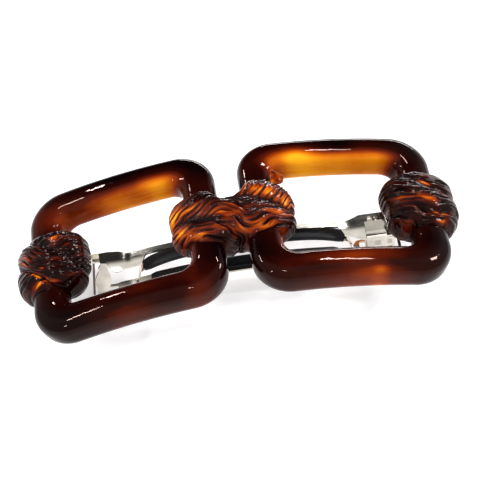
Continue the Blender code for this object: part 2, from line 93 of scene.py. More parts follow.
def to_world(points):
    """Clip-frame points in world axes."""
    x, y, z = points[..., 0], points[..., 1], points[..., 2]
    return np.stack([x * CLIP_X.x + y * CLIP_Y.x, x * CLIP_X.y + y * CLIP_Y.y, z], -1)


def grid_faces(rows, columns, close_rows=False):
    """Quads over a grid of points. Each row is a closed loop; close_rows joins the last to the first."""
    faces = []
    for i in range(rows if close_rows else rows - 1):
        row, following = i * columns, (i + 1) % rows * columns
        for j in range(columns):
            k = (j + 1) % columns
            faces.append((row + j, row + k, following + k, following + j))
    return faces


def piece(name, points, faces, material, body, stands_for=(), attributes=None):
    """A smooth mesh of millimetre points, riding on a CAD body."""
    mesh = bpy.data.meshes.new(name)
    mesh.from_pydata((np.asarray(points).reshape(-1, 3) * MM).tolist(), [], faces)
    for key, values in (attributes or {}).items():
        layer = mesh.attributes.new(key, "FLOAT", "POINT")
        layer.data.foreach_set("value", np.asarray(values, np.float32).ravel())
    bm = bmesh.new()
    bm.from_mesh(mesh)
    bmesh.ops.recalc_face_normals(bm, faces=bm.faces)
    bm.to_mesh(mesh)
    bm.free()
    mesh.shade_smooth()
    mesh.materials.append(material)
    made = bpy.data.objects.new(name, mesh)
    bpy.context.scene.collection.objects.link(made)
    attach(made, body)
    if stands_for:
        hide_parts(*stands_for)
    return made


def closed_tube(rows):
    """Points and faces of a tube given as rows of closed rings, with both ends capped."""
    count = rows.shape[1]
    faces = grid_faces(len(rows), count)
    last = (len(rows) - 1) * count
    for j in range(count):
        k = (j + 1) % count
        faces += [(len(rows) * count, k, j), (len(rows) * count + 1, last + j, last + k)]
    return np.vstack([rows.reshape(-1, 3), rows[[0, -1]].mean(1)]), faces


def superellipse(angle, power):
    c, s = np.cos(angle), np.sin(angle)
    return np.sign(c) * np.abs(c) ** (2 / power), np.sign(s) * np.abs(s) ** (2 / power)


def even_loop(points, count):
    """A closed loop of points, respaced evenly."""
    closed = np.vstack([points, points[:1]])
    run = np.concatenate([[0], np.cumsum(np.linalg.norm(np.diff(closed, axis=0), axis=1))])
    wanted = np.linspace(0, run[-1], count, endpoint=False)
    return np.stack([np.interp(wanted, run, closed[:, k]) for k in range(closed.shape[1])], -1)


def waves(p, seed, size):
    """Smooth noise of about -1 to 1 at points p, as a sum of slanted waves about size apart."""
    rng = np.random.default_rng(seed)
    total = np.zeros(p.shape[:-1])
    for _ in range(9):
        direction = rng.normal(size=p.shape[-1])
        direction *= rng.uniform(0.6, 1.5) / np.linalg.norm(direction)
        total += np.sin(p @ direction * 2 * math.pi / size + rng.uniform(0, 2 * math.pi))
    return total / 3.0


def spots(p, places):
    """Sum of soft elliptical patches: (u, y, reach along u, reach along y, tilt in degrees, strength)."""
    total = np.zeros(p.shape[:-1])
    for u, y, along, across, tilt, strength in places:
        t = math.radians(tilt)
        du, dy = p[..., 0] - u, p[..., 1] - y
        a = (du * math.cos(t) + dy * math.sin(t)) / along
        b = (-du * math.sin(t) + dy * math.cos(t)) / across
        total += strength * np.exp(-(a * a + b * b))
    return total


# ---------------------------------------------------------------- materials


class Nodes:
    """Short calls for building a node tree."""

    def __init__(self, name):
        self.material = bpy.data.materials.new(name)
        self.material.use_nodes = True
        self.tree = self.material.node_tree
        self.shader = self.tree.nodes["Principled BSDF"]
        self.place = self.node("ShaderNodeTexCoord").outputs["Object"]

    def node(self, kind, **settings):
        made = self.tree.nodes.new(kind)
        for key, value in settings.items():
            setattr(made, key, value)
        return made

    def link(self, source, target):
        self.tree.links.new(source, target)

    def set(self, **values):
        for key, value in values.items():
            self.shader.inputs[key.replace("_", " ").title().replace("Ior", "IOR")].default_value = value

    def scaled(self, scale):
        mapping = self.node("ShaderNodeMapping")
        mapping.inputs["Scale"].default_value = scale
        self.link(self.place, mapping.inputs["Vector"])
        return mapping.outputs["Vector"]

    def noise(self, vector, scale, detail, roughness=0.5, distortion=0.0):
        made = self.node("ShaderNodeTexNoise")
        self.link(vector, made.inputs["Vector"])
        made.inputs["Scale"].default_value = scale
        made.inputs["Detail"].default_value = detail
        made.inputs["Roughness"].default_value = roughness
        made.inputs["Distortion"].default_value = distortion
        return made.outputs["Fac"]

    def maths(self, operation, a, b, c=None):
        made = self.node("ShaderNodeMath", operation=operation)
        for socket, value in zip(made.inputs, (a, b, c)):
            if isinstance(value, (int, float)):
                socket.default_value = value
            elif value is not None:
                self.link(value, socket)
        return made.outputs[0]

    def attribute(self, name):
        return self.node("ShaderNodeAttribute", attribute_name=name).outputs["Fac"]

    def ramp(self, factor, stops):
        made = self.node("ShaderNodeValToRGB")
        elements = made.color_ramp.elements
        elements[0].position, elements[0].color = stops[0][0], (*stops[0][1], 1)
        elements[1].position, elements[1].color = stops[-1][0], (*stops[-1][1], 1)
        for position, colour in stops[1:-1]:
            elements.new(position).color = (*colour, 1)
        self.link(factor, made.inputs["Fac"])
        return made.outputs["Color"]

    def bump(self, height, strength, distance):
        made = self.node("ShaderNodeBump")
        made.inputs["Strength"].default_value = strength
        made.inputs["Distance"].default_value = distance
        self.link(height, made.inputs["Height"])
        self.link(made.outputs["Normal"], self.shader.inputs["Normal"])


TORTOISESHELL = (
    (0.00, (0.0020, 0.0004, 0.0005)),
    (0.25, (0.0140, 0.0013, 0.0008)),
    (0.45, (0.0750, 0.0070, 0.0015)),
    (0.62, (0.2300, 0.0300, 0.0015)),
    (0.80, (0.5200, 0.1200, 0.0020)),
    (1.00, (0.8800, 0.3400, 0.0080)),
)


def resin(name, streaks, streak_scale, mottle, gloss, tint, groove_shade=1.0):
    """Polished translucent resin. Its amber values say where light shines through: the tortoiseshell
    pattern with a painted glow, and painted shade in its hollows.
    """
    n = Nodes(name)
    flow = n.noise(n.scaled(streaks), streak_scale, 3.0, 0.55, 0.6)
    cloud = n.noise(n.scaled((1, 1, 1)), 260.0, 2.0, 0.5, 0.4)
    drift = n.maths("MULTIPLY", n.maths("SUBTRACT", flow, 0.5), mottle)
    puff = n.maths("MULTIPLY", n.maths("SUBTRACT", cloud, 0.5), mottle * 0.6)
    glow = n.maths("ADD", n.maths("ADD", n.attribute("amber_glow_and_shade"), drift), puff)
    # Painted shade: the colour is darkened in the grooves between a knot's strands.
    if groove_shade < 1:
        share = n.maths("MULTIPLY_ADD", n.attribute("crease_shading"), 1.0 - groove_shade, groove_shade)
        glow = n.maths("MULTIPLY", glow, share)
    colour = n.ramp(glow, TORTOISESHELL)
    n.link(colour, n.shader.inputs["Base Color"])
    # The colour is also emitted a little, as a painted glow standing in for light passing through the
    # resin.
    n.link(colour, n.shader.inputs["Emission Color"])
    n.set(roughness=0.03, ior=1.48, emission_strength=0.12, specular_ior_level=gloss)
    n.shader.inputs["Specular Tint"].default_value = (*tint, 1.0)
    grain = n.noise(n.scaled((1, 1, 1)), 420.0, 2.0)
    n.bump(grain, 0.06, 0.0006)
    return n.material


def nickel(name, tint=(0.76, 0.71, 0.63), roughness=0.12, tilt=0.0):
    """Bright nickel plate: faint rolling lines and a little tarnish. tilt turns its skin about X."""
    n = Nodes(name)
    cloud = n.noise(n.scaled((1, 1, 1)), 240.0, 3.0)
    dark = tuple(0.80 * c for c in tint)
    n.link(n.ramp(cloud, ((0.25, dark), (0.6, tint))), n.shader.inputs["Base Color"])
    n.shader.inputs["Metallic"].default_value = 1.0
    lines = n.noise(n.scaled((0.08, 1.0, 1.0)), 1500.0, 2.0)
    rough = n.node("ShaderNodeMapRange")
    rough.inputs["To Min"].default_value = roughness * 0.6
    rough.inputs["To Max"].default_value = roughness * 1.7
    n.link(lines, rough.inputs["Value"])
    n.link(rough.outputs["Result"], n.shader.inputs["Roughness"])
    split = n.node("ShaderNodeSeparateXYZ")
    n.link(n.place, split.inputs[0])
    lean = n.maths("MULTIPLY", split.outputs["Y"], tilt)
    roll = n.maths("MULTIPLY", n.noise(n.scaled((1, 1, 1)), 160.0, 1.0), 0.00006)
    n.bump(n.maths("ADD", lean, roll), 1.0, 1.0)
    return n.material


def rubber(name):
    """Satin black rubber with a fine pebbled skin."""
    n = Nodes(name)
    cloud = n.noise(n.scaled((1, 1, 1)), 500.0, 3.0)
    blacks = (0.3, (0.0020, 0.0024, 0.0032)), (0.7, (0.0050, 0.0060, 0.0080))
    n.link(n.ramp(cloud, blacks), n.shader.inputs["Base Color"])
    n.set(specular_ior_level=0.14)
    rough = n.node("ShaderNodeMapRange")
    rough.inputs["To Min"].default_value = 0.34
    rough.inputs["To Max"].default_value = 0.52
    n.link(cloud, rough.inputs["Value"])
    n.link(rough.outputs["Result"], n.shader.inputs["Roughness"])
    n.bump(n.noise(n.scaled((1, 1, 1)), 5200.0, 2.0), 0.10, 0.0001)
    return n.material


def adhesive(name):
    """Cured clear adhesive, slightly yellow and cloudy."""
    n = Nodes(name)
    cloud = n.noise(n.scaled((1, 1, 1)), 700.0, 3.0)
    yellows = (0.3, (0.45, 0.40, 0.28)), (0.7, (0.72, 0.68, 0.55))
    n.link(n.ramp(cloud, yellows), n.shader.inputs["Base Color"])
    n.set(roughness=0.22)
    n.bump(n.noise(n.scaled((1, 1, 1)), 900.0, 2.0), 0.3, 0.0002)
    return n.material


# ---------------------------------------------------------------- links


def rounded_rectangle(length, width, radius, count):
    """A rounded rectangle, as the same number of points for any radius."""
    per_part = count // 8
    share = np.linspace(0, 1, per_part, endpoint=False)[:, None]
    points = []
    for sx, sy, start in ((1, 1, 0), (-1, 1, 90), (-1, -1, 180), (1, -1, 270)):
        angles = np.radians(np.linspace(start, start + 90, per_part, endpoint=False))
        centre = np.array([sx * (length / 2 - radius), sy * (width / 2 - radius)])
        points.append(centre + radius * np.stack([np.cos(angles), np.sin(angles)], -1))
        turn = math.radians(start + 90)
        outward = np.array([math.cos(turn), math.sin(turn)])
        onward = np.array([-math.sin(turn), math.cos(turn)])
        run = (length if start in (0, 180) else width) - 2 * radius
        points.append(centre + radius * outward + share * run * onward)
    return np.vstack(points)


def link(side, name, glow_places, material):
    """A ring of rounded-square bar. Its amber carries a painted glow, brighter low on the bar and on the
    bar's inner side, where light would shine through the resin.
    """
    around, sides = 320, 44
    outer = rounded_rectangle(LINK_LENGTH, LINK_WIDTH, OUTER_RADIUS, around)
    inner = rounded_rectangle(LINK_LENGTH - 2 * BAR, LINK_WIDTH - 2 * BAR, INNER_RADIUS, around)
    angle = np.linspace(0, 2 * math.pi, sides, endpoint=False)
    across, up = superellipse(angle, SECTION_POWER)
    section = even_loop(np.stack([across * BAR / 2, up * BAR_HEIGHT / 2], -1), sides)
    middle, half = (outer + inner) / 2, (outer - inner) / 2
    flat = middle[:, None, :] + half[:, None, :] * (section[None, :, :1] / (BAR / 2))
    u = flat[..., 0] + side * LINK_CENTRE
    height = np.broadcast_to(section[None, :, 1], u.shape)
    points = np.stack([u, flat[..., 1], height], -1)
    low = np.clip(-points[..., 2] / BAR_HEIGHT, 0, 1)
    inward = np.clip(-section[None, :, 0] / BAR, 0, 1)
    # Painted glow: the amber rises low on the bar and on its inner side, where light would shine through.
    amber_glow_and_shade = LINK_GLOW + 0.13 * low + 0.10 * inward
    amber_glow_and_shade = amber_glow_and_shade + spots(points[..., :2], glow_places) + 0.05 * waves(points, 3 + side, 14.0)
    faces = grid_faces(len(outer), sides, True)
    return piece(name, arch(points), faces, material, "base", [name], {"amber_glow_and_shade": amber_glow_and_shade})


# The amber that a link has all over, and then the patches where each link is brighter or darker:
# tortoiseshell pattern mixed with painted glow.
LINK_GLOW = 0.17
LEFT_LINK_GLOW = (
    # rear bar: painted glow on its inner side, and dark on its outer side
    (-26, 13.2, 12, 2.2, 5, 0.53), (-15, 13.6, 5, 2.4, 0, 0.50), (-24, 20.0, 16, 2.4, 3, -0.30),
    # left bar and its corners
    (-41, 13.0, 6, 5, 45, 0.16), (-46, 7, 3.0, 6, 0, 0.08), (-46, -16, 5, 5, 0, -0.16),
    # right bar and its rear corner
    (-7, 17, 4, 5, 0, -0.24), (-4, 19, 4, 3, 0, -0.12),
    (-10.2, -9.5, 1.4, 4.0, 0, 0.26), (-3.5, -9, 2.0, 9, 0, -0.12),
    # front bar, with painted glow along its front edge
    (-25, -16.2, 14, 1.8, 0, 0.10), (-27, -21.0, 5, 1.3, 0, 0.24), (-34, -14.5, 5, 1.2, 0, -0.10),
    (-10, -20.5, 5, 2.0, 20, 0.14), (-40, -19, 7, 4, 0, -0.12),
)
RIGHT_LINK_GLOW = (
    # rear bar: painted glow on its inner side, and dark on its outer side
    (16, 15.0, 6, 2.6, 0, 0.62), (27, 13.6, 11, 2.0, 0, 0.62), (37, 13.8, 4, 1.8, 0, 0.36),
    (24, 20.5, 17, 2.0, 0, -0.30), (27.5, 17.4, 4.0, 1.6, 0, -0.16),
    # left bar
    (10.6, 11.4, 1.6, 3.5, 0, 0.30), (5.5, 14, 3, 6, 0, 0.06),
    (10.4, -10.5, 1.3, 3.0, 0, 0.30), (4.5, -12, 2.0, 7, 0, -0.06),
    # right bar's two corners
    (46, 16, 5, 5, 0, -0.20), (46, -15, 5, 6, 0, -0.22),
    # front bar, with painted glow along its front edge
    (24, -17.0, 13, 2.2, 0, 0.27), (28, -21.0, 12, 1.2, 0, 0.30), (30.5, -20.4, 2.0, 0.8, 0, 0.26),
    (22, -14.0, 12, 1.0, 0, -0.12), (9, -19, 5, 3.0, -30, 0.10), (5, -19, 3, 3, 0, -0.08),
)


# ---------------------------------------------------------------- knots

KNOT_TOP = 6.6            # above the mid-plane
KNOT_BOTTOM = 4.4         # below it


def curve_through(points):
    """A smooth function through a few (x, y) points, level with its end slopes beyond them."""
    x, y = np.array(points, float).T
    slope = np.gradient(y, x)

    def value(at):
        a = np.clip(at, x[0], x[-1])
        k = np.clip(np.searchsorted(x, a) - 1, 0, len(x) - 2)
        span = x[k + 1] - x[k]
        t = (a - x[k]) / span
        return (
            (2 * t**3 - 3 * t**2 + 1) * y[k] + (t**3 - 2 * t**2 + t) * span * slope[k]
            + (-2 * t**3 + 3 * t**2) * y[k + 1] + (t**3 - t**2) * span * slope[k + 1]
        )

    return value


def bead(half_u, half_y, top, bottom, around, along):
    """A blunt bead about the y axis, as a grid of points."""
    angle = np.linspace(0, 2 * math.pi, 4000, endpoint=False)
    across, up = superellipse(angle, 2.35)
    section = even_loop(np.stack([across * half_u, np.where(up > 0, up * top, up * bottom)], -1), around)
    section /= np.array([half_u, 1.0])
    tip = np.linspace(-math.pi / 2, math.pi / 2, 4001)
    girth, reach = superellipse(tip, 3.2)
    profile = np.stack([reach * half_y, girth], -1)
    steps = np.hypot(np.diff(profile[:, 0]), np.diff(profile[:, 1]) * (half_u + top) / 2)
    run = np.concatenate([[0], np.cumsum(steps)])
    wanted = np.linspace(0.004, 0.996, along) * run[-1]
    y, g = (np.interp(wanted, run, profile[:, k]) for k in (0, 1))
    u = g[:, None] * section[None, :, 0] * half_u
    w = g[:, None] * section[None, :, 1]
    return np.stack([u, np.broadcast_to(y[:, None], u.shape), w], -1)


def surface_normals(points):
    """Outward normals of a grid of points whose rows are closed loops."""
    down = np.gradient(points, axis=0)
    around = (np.roll(points, -1, axis=1) - np.roll(points, 1, axis=1)) / 2
    n = np.cross(around, down)
    n /= np.linalg.norm(n, axis=-1, keepdims=True) + 1e-9
    centre = points.mean(axis=(0, 1))
    if ((points - centre) * n).sum() < 0:
        n = -n
    return n


def lay_band(base, warp, edges, k, band, seed):
    """The k-th band of strands over a knot: where it lies, and its lift, painted crease shade, tone and
    streak.

    A band is (lift, pitch of its strands, strand line, strand depth). Its strands run parallel to the
    strand line, which is a curve of y over u.
    """
    height, pitch, line, depth = band
    upper, lower = edges[k], edges[k + 1]
    across = (2 * warp[..., 1] - upper - lower) / np.maximum(upper - lower, 0.4)
    pillow = (1 - np.minimum(np.abs(across), 1) ** 2.6) ** 0.55
    phase = (warp[..., 1] - line(warp[..., 0])) / pitch + 0.18 * waves(base, seed + 5 + k, 7.0)
    rib = np.abs(np.sin(math.pi * phase)) ** 0.45
    fine_phase = phase * 2.3 + 0.3 * waves(base, seed + 9, 4.0)
    fine = np.abs(np.sin(math.pi * fine_phase)) ** 0.6
    lengthwise = np.stack([warp[..., 0] / 4.5, phase], -1)
    fade = np.clip(0.55 + 0.75 * waves(lengthwise, seed + 20 + k, 1.3), 0.05, 1.0)
    finer = np.clip(0.45 + 0.8 * waves(lengthwise, seed + 40 + k, 0.7), 0.0, 1.0)
    strands = depth * (1.8 * fade * (rib - 0.75) + 0.45 * finer * (fine - 0.75))
    # Painted shade: the grooves between strands are darkened, and the band's edges too through the pillow.
    shade = np.clip(1 - fade * (1 - rib) * 1.8 - 0.5 * finer * (1 - fine), 0, 1)
    which = np.floor(phase)
    return np.abs(across) <= 1, {
        "lift": height * (pillow - 1) + strands,
        "crease_shading": np.minimum(pillow / 0.55, 1) * shade,
        "tone": 0.5 * (np.sin(which * 12.9898 + k * 4.1) + np.sin(which * 5.1)),
        "streak": waves(lengthwise, seed + 60 + k, 1.6),
    }


def draw_in_waist(points, half_y):
    """Narrows the rear half of the centre knot at its middle, and swells it at its right lobe."""
    edge, width = 3.9, 3.6
    lobe, lobe_reach = 8.5, 5.0
    u, y = points[..., 0], points[..., 1]
    swell = 1 + 0.13 * np.exp(-(((u - lobe) / lobe_reach) ** 2))
    pinch = 1 - (1 - edge / half_y) * np.exp(-np.abs(u / width) ** 3.0)
    points[..., 1] = np.where(y > 0, y * swell * pinch, y)


def knot(name, centre, half_u, half_y, grooves, bands, glow_places, material, seed, glow, streaky):
    """A bead whose skin is laid in bands of twisted strands, with a groove between neighbouring bands.

    grooves are curves of y over u, from the back to the front.
    """
    in_middle = centre == 0
    base = bead(half_u, half_y, KNOT_TOP, KNOT_BOTTOM, 460 if in_middle else 340, 160)
    u, y = base[..., 0], base[..., 1]
    warp = np.stack([u + centre, y], -1)
    warp += 0.25 * np.stack([waves(base, seed, 6.0), waves(base, seed + 1, 5.0)], -1)
    outside = np.full(u.shape, half_y + 1.2)
    edges = [outside] + [groove(warp[..., 0]) for groove in grooves] + [-outside]
    skin = {key: np.zeros(u.shape) for key in ("lift", "tone", "streak")}
    skin["crease_shading"] = np.ones(u.shape)
    for k, band in enumerate(bands):
        inside, laid = lay_band(base, warp, edges, k, band, seed)
        skin = {key: np.where(inside, laid[key], skin[key]) for key in skin}
    points = base + surface_normals(base) * skin["lift"][..., None]
    points[..., 0] += centre
    if in_middle:
        draw_in_waist(points, half_y)
    # The knot's amber is the tortoiseshell pattern with painted glow, and painted shade where spots darken
    # its hollows.
    amber_glow_and_shade = glow + spots(points[..., :2], glow_places) + 0.07 * skin["tone"] + streaky * skin["streak"]
    all_points, faces = closed_tube(points)
    values = {"amber_glow_and_shade": np.append(amber_glow_and_shade, [0.2, 0.2]), "crease_shading": np.append(skin["crease_shading"], [0.5, 0.5])}
    return piece(name, arch(all_points), faces, material, "base", [name], values)


def build_petal(resin_skin):
    """The small flat leaf that sticks out behind the centre knot's right lobe."""
    half_y = 2.3
    leaf, faces = closed_tube(bead(1.6, half_y, 0.5, 0.45, 40, 30))
    back = np.clip(leaf[:, 1] / half_y, 0, 1)
    leaf[:, 0] = leaf[:, 0] * (1 - 0.8 * back) - 0.9 * back
    leaf += np.array([11.4, 8.6, 3.8])
    shine = {"amber_glow_and_shade": 0.60 + 0.12 * waves(leaf, 5, 2.0), "crease_shading": np.ones(len(leaf))}
    piece("petal", arch(leaf), faces, resin_skin, "base", ["centre_knot"], shine)


def build_centre_knot(resin_skin):
    rear = curve_through([
        (-16, 12), (-6, 9), (0, 5.6), (2, 4.2), (5, 2.3), (8, 0.6), (10, 0.0), (13, -1.0), (16, -2),
    ])
    front = curve_through([
        (-16, -0.6), (-12, -1.2), (-10, -1.2), (-8, -1.7), (-6, -2.6), (-4, -3.9), (-2.5, -5.3),
        (-1.2, -6.8), (3, -10), (16, -12),
    ])
    rear_line = curve_through([(-16, -20), (4, 0), (8, 3.5), (10, 6.0), (14, 13)])
    middle_line = curve_through([
        (-16, -6), (-7, -1.2), (-3.5, 1.6), (0, 0.8), (3, -2.2), (6, -1.2), (9, -0.3), (13, 0.6), (16, 1),
    ])
    front_line = curve_through([(-16, -6), (-12, -4.7), (-9, -4.1), (-7, -3.9), (-3, -5.2), (0, -6)])
    bands = ((1.3, 1.5, rear_line, 0.42), (1.2, 1.55, middle_line, 0.50), (1.3, 1.35, front_line, 0.42))
    glow = (
        # all over
        (0, 0, 18, 9, 0, 0.14),
        # left edge and left lobe
        (-14.0, 0.5, 1.4, 4.5, 0, 0.30), (-12.5, 2.0, 2.6, 4.0, 0, 0.50), (-12.0, -4.0, 1.8, 2.0, 0, 0.44),
        (-8.5, 1.0, 4.0, 1.6, 0, 0.42), (-4.0, -2.0, 2.5, 1.6, -30, 0.26),
        # right lobe and right edge
        (8, 3.2, 4.5, 2.2, -20, 0.56), (12.5, 0.5, 1.8, 2.5, 0, 0.50), (9, -4.2, 5.0, 2.2, 25, 0.32),
        # middle and front
        (2, -2.4, 4.5, 1.0, 25, 0.26), (4, -6.6, 5, 1.2, 0, 0.34), (-7.0, -5.6, 5.0, 1.6, -8, 0.34),
        (-1.0, -0.8, 2.5, 1.5, 0, 0.20),
        # dark hollows
        # painted shade in the hollows
        (-5, 5.0, 5.0, 1.8, -20, -0.14), (-7.5, -2.4, 5.0, 0.8, -12, -0.40),
        (5, -0.4, 4.0, 1.2, 20, -0.16), (0.5, 2.2, 3.0, 1.6, -30, -0.14),
    )
    knot(
        "centre_knot", 0.0, 14.7, 8.5, (rear, front), bands, glow, resin_skin,
        seed=11, glow=0.20, streaky=0.13,
    )


def build_left_knot(resin_skin):
    rear = curve_through([
        (-54, 14), (-49, 8.5), (-46, 5.5), (-43.5, 3.4), (-42, 2), (-40, 0.3), (-38, -1.8), (-36.5, -3),
        (-34, -5),
    ])
    front = curve_through([
        (-54, 3), (-50, -0.4), (-47.5, -2.6), (-46, -4), (-44.2, -5.8), (-43, -7.2), (-40, -11), (-34, -14),
    ])
    rear_line = curve_through([
        (-54, -1), (-46, 1), (-42, 1.6), (-40, 1.7), (-38, 2.3), (-36, 3.4), (-34, 5),
    ])
    middle_line = curve_through([
        (-54, 8), (-49, 3), (-47, 1.5), (-44, -1.4), (-42, -2.7), (-38, -2.4), (-34, -1),
    ])
    front_line = curve_through([(-54, -7), (-50, -6), (-47, -4.9), (-44, -5.2)])
    bands = ((1.1, 1.9, rear_line, 0.50), (1.0, 1.7, middle_line, 0.38), (1.1, 1.7, front_line, 0.34))
    glow = (
        # all over
        (-44, 0, 12, 9, 0, 0.10),
        # broad patches
        (-40, 4.0, 2.6, 1.1, 0, 0.52), (-37.6, 1.6, 1.6, 0.8, 10, 0.50), (-46, 0.3, 3.6, 1.1, 0, 0.30),
        (-48, 2.6, 2.5, 3, 0, 0.26), (-47.4, -2.2, 2.6, 1.0, -45, 0.30),
        # thin creases
        (-45.2, -4.9, 1.9, 0.45, -45, 0.85), (-45.2, -7.0, 2.2, 0.4, 18, 0.85),
        (-43.4, -3.6, 1.3, 0.5, 10, 0.55), (-41.5, -7.3, 2.0, 0.35, -20, 0.5),
    )
    knot(
        "left_knot", -43.5, 9.0, 8.7, (rear, front), bands, glow, resin_skin,
        seed=31, glow=0.08, streaky=0.15,
    )


def build_right_knot(resin_skin):
    rear = curve_through([
        (34, 10), (38, 7.5), (41, 5.2), (42.5, 4), (44, 2.8), (46.5, 1.4), (49, 0.8), (54, 0),
    ])
    front = curve_through([
        (34, -1.5), (35.5, -2), (37.5, -2.9), (40, -4.1), (42, -5.4), (44.5, -6.2), (47, -5.7),
        (50, -5.0), (54, -4.5),
    ])
    rear_line = curve_through([(34, 2), (44, 4.2), (48, 4.0), (54, 3)])
    middle_line = curve_through([(34, 2.4), (38, 1.4), (41, 0.6), (45, 0.2), (49, 0.4), (54, 1)])
    front_line = curve_through([
        (34, -3.2), (38, -4.6), (40, -5.6), (42, -7.0), (44.5, -7.1), (48, -6.8), (54, -6),
    ])
    bands = ((1.1, 2.2, rear_line, 0.34), (0.9, 1.5, middle_line, 0.36), (1.0, 1.9, front_line, 0.42))
    glow = (
        # all over
        (44, 0, 12, 9, 0, 0.10),
        # broad patches
        (38, -1.6, 3.0, 1.4, -10, 0.36), (44, -2.0, 4.0, 1.4, 0, 0.34), (39.5, -7.2, 1.2, 0.7, 0, 0.36),
        (37, 6, 2.0, 3.0, 0, 0.22),
        # thin creases
        (44.6, 2.6, 2.3, 0.5, -32, 0.85), (45.5, -5.9, 2.6, 0.35, 0, 0.80),
        (49.0, -5.2, 1.6, 0.4, 14, 0.6), (46, -7.5, 1.5, 0.4, 0, 0.5),
    )
    knot(
        "right_knot", 43.9, 9.0, 8.7, (rear, front), bands, glow, resin_skin,
        seed=53, glow=0.08, streaky=0.15,
    )


# ---------------------------------------------------------------- clip

CLIP_ARCH = 27.0          # the strips are arched up to this distance and level beyond it
SHEET = 0.55
STRIP_HALF = 1.95
PLATE_W = -5.65           # middles of the two strips at the crest, from the links' mid-plane
ARM_W = -15.35
HEAD_RISE = 0.6           # how far each end of the plate is joggled up
CATCH_RISE = 0.2
HEAD_HALF = 2.85
HEAD_END = -34.2
CATCH_HALF = 3.2
CATCH_END = 37.0
RAIL_FRONT = 0.4          # the plate is cut back to here over the sleeve
LEG_REAR = 2.6
TONGUE_FRONT = 0.65
TONGUE_REAR = 1.4
PIN_X = -32.8
PIN_W = -17.0
LEAN = math.tan(math.radians(9.0))
BOW_X = 1.4               # middle of the bow
BOW_W = -7.12
BOW_DROP = 3.6            # fall from the middle to the end of the sleeve
BOW_REACH = 23.6          # half the length of the sleeve
BOW_POWER = 3.5
BOW_HOOK = BOW_REACH + 2.9


def fall(x):
    reach = np.minimum(np.abs(x), CLIP_ARCH)
    return ARCH_RADIUS - np.sqrt(ARCH_RADIUS**2 - reach**2)


def rise(x):
    share = np.clip((np.abs(x) - CLIP_ARCH + 1.5) / 2.0, 0, 1)
    share = share * share * (3 - 2 * share)
    return np.where(x < 0, HEAD_RISE, CATCH_RISE) * share


def inside_loop(p, loop):
    """Whether point p is inside a loop, by crossings."""
    within = False
    for (x0, y0), (x1, y1) in zip(loop, loop[1:] + loop[:1]):
        if (y0 > p[1]) != (y1 > p[1]) and p[0] < x0 + (p[1] - y0) * (x1 - x0) / (y1 - y0):
            within = not within
    return within


def softened(loop, radius):
    """A loop with each corner rounded."""
    steps = 4
    made = []
    for before, corner, after in zip(loop[-1:] + loop[:-1], loop, loop[1:] + loop[:1]):
        b, c, a = (Vector(p) for p in (before, corner, after))
        reach = min(radius, (b - c).length * 0.45, (a - c).length * 0.45)
        start, end = c + (b - c).normalized() * reach, c + (a - c).normalized() * reach
        for i in range(steps + 1):
            t = i / steps
            p = start * (1 - t) ** 2 + c * 2 * t * (1 - t) + end * t**2
            made.append((p.x, p.y))
    return made


def even_steps(loop, spacing):
    """A loop with its long sides divided."""
    made = []
    for start, end in zip(np.array(loop), np.array(loop[1:] + loop[:1])):
        parts = max(1, round(math.dist(start, end) / spacing))
        made += [tuple(start + (end - start) * i / parts) for i in range(parts)]
    return made


def oval(x, y, half_x, half_y):
    """An ellipse about (x, y), as a loop of corners."""
    turns = np.linspace(0, 2 * math.pi, 24, endpoint=False)
    return [(x + half_x * math.cos(t), y + half_y * math.sin(t)) for t in turns]


def box_loop(x0, y0, x1, y1):
    """A rectangle between two opposite corners, as a loop of corners."""
    return [(x0, y0), (x1, y0), (x1, y1), (x0, y1)]


def filled(loops, spacing):
    """Flat points and triangles that fill the first loop, apart from the holes that the others outline."""
    rim, edges = [], []
    for loop in loops:
        first = len(rim)
        rim += [Vector(p) for p in loop]
        edges += [(first + i, first + (i + 1) % len(loop)) for i in range(len(loop))]
    within = []
    low, high = np.min(loops[0], axis=0), np.max(loops[0], axis=0)
    for a in np.arange(low[0] + spacing / 2, high[0], spacing):
        for b in np.arange(low[1] + spacing / 2, high[1], spacing):
            near = min((Vector((a, b)) - corner).length for corner in rim)
            if near > spacing / 2 and inside_loop((a, b), loops[0]):
                within.append(Vector((a, b)))
    points, _, triangles, *_ = delaunay_2d_cdt(rim + within, edges, [], 1, 1e-6)
    kept = []
    for triangle in triangles:
        middle = sum((points[i] for i in triangle), Vector((0, 0))) / 3
        if not any(inside_loop(middle, hole) for hole in loops[1:]):
            kept.append(tuple(triangle))
    return np.array([tuple(p) for p in points]), kept


def sheet(name, loops, place, thickness, spacing, material, body, stands_for):
    """A thin sheet with holes. place(a, b, c) puts its outline and its thickness in the clip's frame."""
    flat, upper = filled([even_steps(loop, spacing) for loop in loops], spacing)
    count = len(flat)
    both = np.vstack([place(flat[:, 0], flat[:, 1], c) for c in (thickness / 2, -thickness / 2)])
    sides = {(i, j): True for t in upper for i, j in zip(t, t[1:] + t[:1])}
    faces = upper + [tuple(count + i for i in reversed(t)) for t in upper]
    faces += [(j, i, count + i, count + j) for i, j in sides if (j, i) not in sides]
    made = piece(name, to_world(both), faces, material, body, stands_for)
    bm = bmesh.new()
    bm.from_mesh(made.data)
    bmesh.ops.delete(bm, geom=[v for v in bm.verts if not v.link_faces], context="VERTS")
    bm.to_mesh(made.data)
    bm.free()
    made.data.shade_smooth()
    made.data.set_sharp_from_angle(angle=math.radians(42))
    return made


